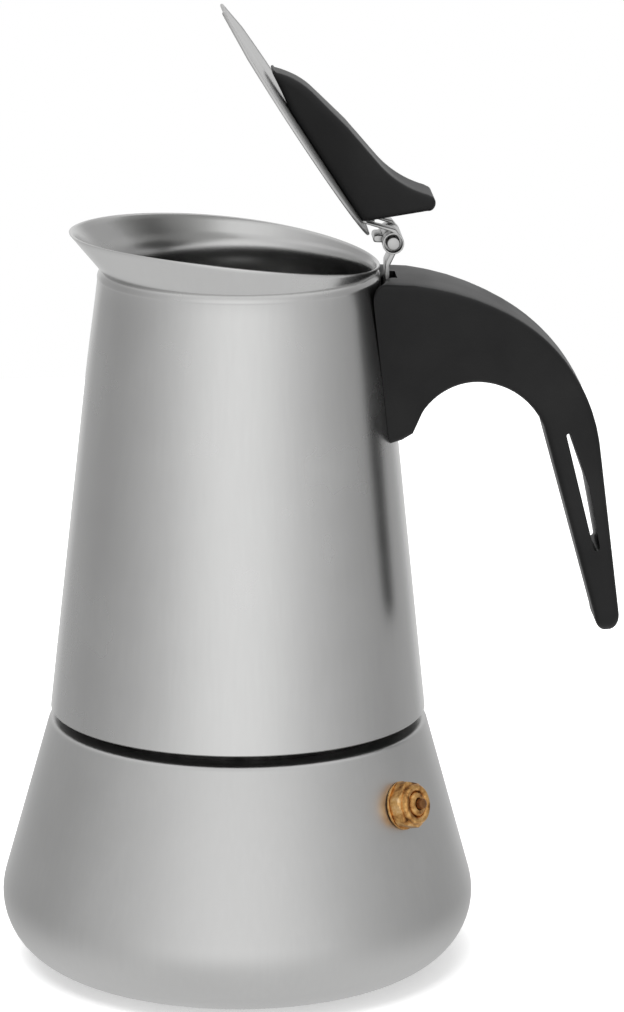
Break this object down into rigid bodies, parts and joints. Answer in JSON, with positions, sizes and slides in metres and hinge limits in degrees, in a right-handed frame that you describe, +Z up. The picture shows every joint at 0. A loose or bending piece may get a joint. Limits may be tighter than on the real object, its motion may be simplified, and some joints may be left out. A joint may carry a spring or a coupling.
{
  "type": "stovetop moka pot",
  "caption": "Stainless steel stovetop moka pot with screw-on upper pot, hinged lid, safety valve, funnel filter and curved black handle.",
  "frame": {"origin": "centre of the flat base on the surface the pot stands on", "axes": "+Z up along the pot's axis, +X towards the handle, -X towards the pouring spout"},
  "size_m": [0.1372, 0.1052, 0.2134],
  "materials": {
    "boiler_steel": "polished stainless steel with a fine satin haze",
    "pot_steel": "polished stainless steel with a fine satin haze",
    "lid_steel": "polished stainless steel sheet",
    "plain_steel": "as drawn and welded, dull",
    "filter_steel": "pressed stainless steel sheet, perforated",
    "hinge_steel": "bright pressed steel",
    "valve_brass": "turned brass, tarnished brown in its corners",
    "valve_steel": "dark steel",
    "seal": "food-grade silicone",
    "handle_black": "moulded black phenolic, fine satin"
  },
  "bodies": {
    "boiler": {"boiler_shell": "boiler_steel", "base_disc": "plain_steel", "boiler_neck": "plain_steel", "valve_body": "valve_brass", "valve_cap": "valve_brass", "valve_locknut": "valve_brass", "valve_washer": "seal", "valve_spring": "valve_steel"},
    "poppet": {"valve_poppet": "valve_steel"},
    "funnel": {"funnel": "filter_steel", "funnel_screen": "filter_steel"},
    "filter_plate": {"filter_plate": "filter_steel"},
    "gasket": {"gasket": "seal"},
    "upper_pot": {"upper_shell": "pot_steel", "pot_floor": "plain_steel", "thread_ring": "plain_steel", "column": "plain_steel", "column_cap": "plain_steel", "handle_bracket": "plain_steel", "handle": "handle_black", "handle_screw": "hinge_steel", "hinge_bracket": "hinge_steel", "hinge_pin": "hinge_steel"},
    "lid": {"lid": "lid_steel", "lid_leaf": "hinge_steel", "lid_knob": "handle_black", "knob_screw": "hinge_steel"}
  },
  "joints": [
    {"name": "valve_lift", "type": "slide", "parent": "boiler", "child": "poppet", "axis": [0.7376, -0.6211, 0.2649], "range_m": [0, 0.0015], "stiffness_N_per_m": 600, "springref_m": -0.004, "deforming": ["valve_spring"]},
    {"name": "funnel_lift", "type": "slide", "parent": "boiler", "child": "funnel", "axis": [0, 0, 1], "range_m": [0, 0.065]},
    {"name": "pot_lift", "type": "slide", "parent": "funnel", "child": "filter_plate", "axis": [0, 0, 1], "range_m": [0, 0.06]},
    {"name": "thread_rise", "type": "slide", "parent": "filter_plate", "child": "gasket", "axis": [0, 0, 1], "range_m": [0, 0.0076]},
    {"name": "unscrew", "type": "hinge", "parent": "gasket", "child": "upper_pot", "pos_m": [0, 0, 0.06], "axis": [0, 0, 1], "range_deg": [0, 900]},
    {"name": "lid_hinge", "type": "hinge", "parent": "upper_pot", "child": "lid", "pos_m": [0.03315, 0, 0.16313], "axis": [0, 1, 0], "range_deg": [-50.6, 40]}
  ],
  "couplings": [
    {"joint": "thread_rise", "follows": "unscrew", "m_per_rad": 0.00047746}
  ]
}
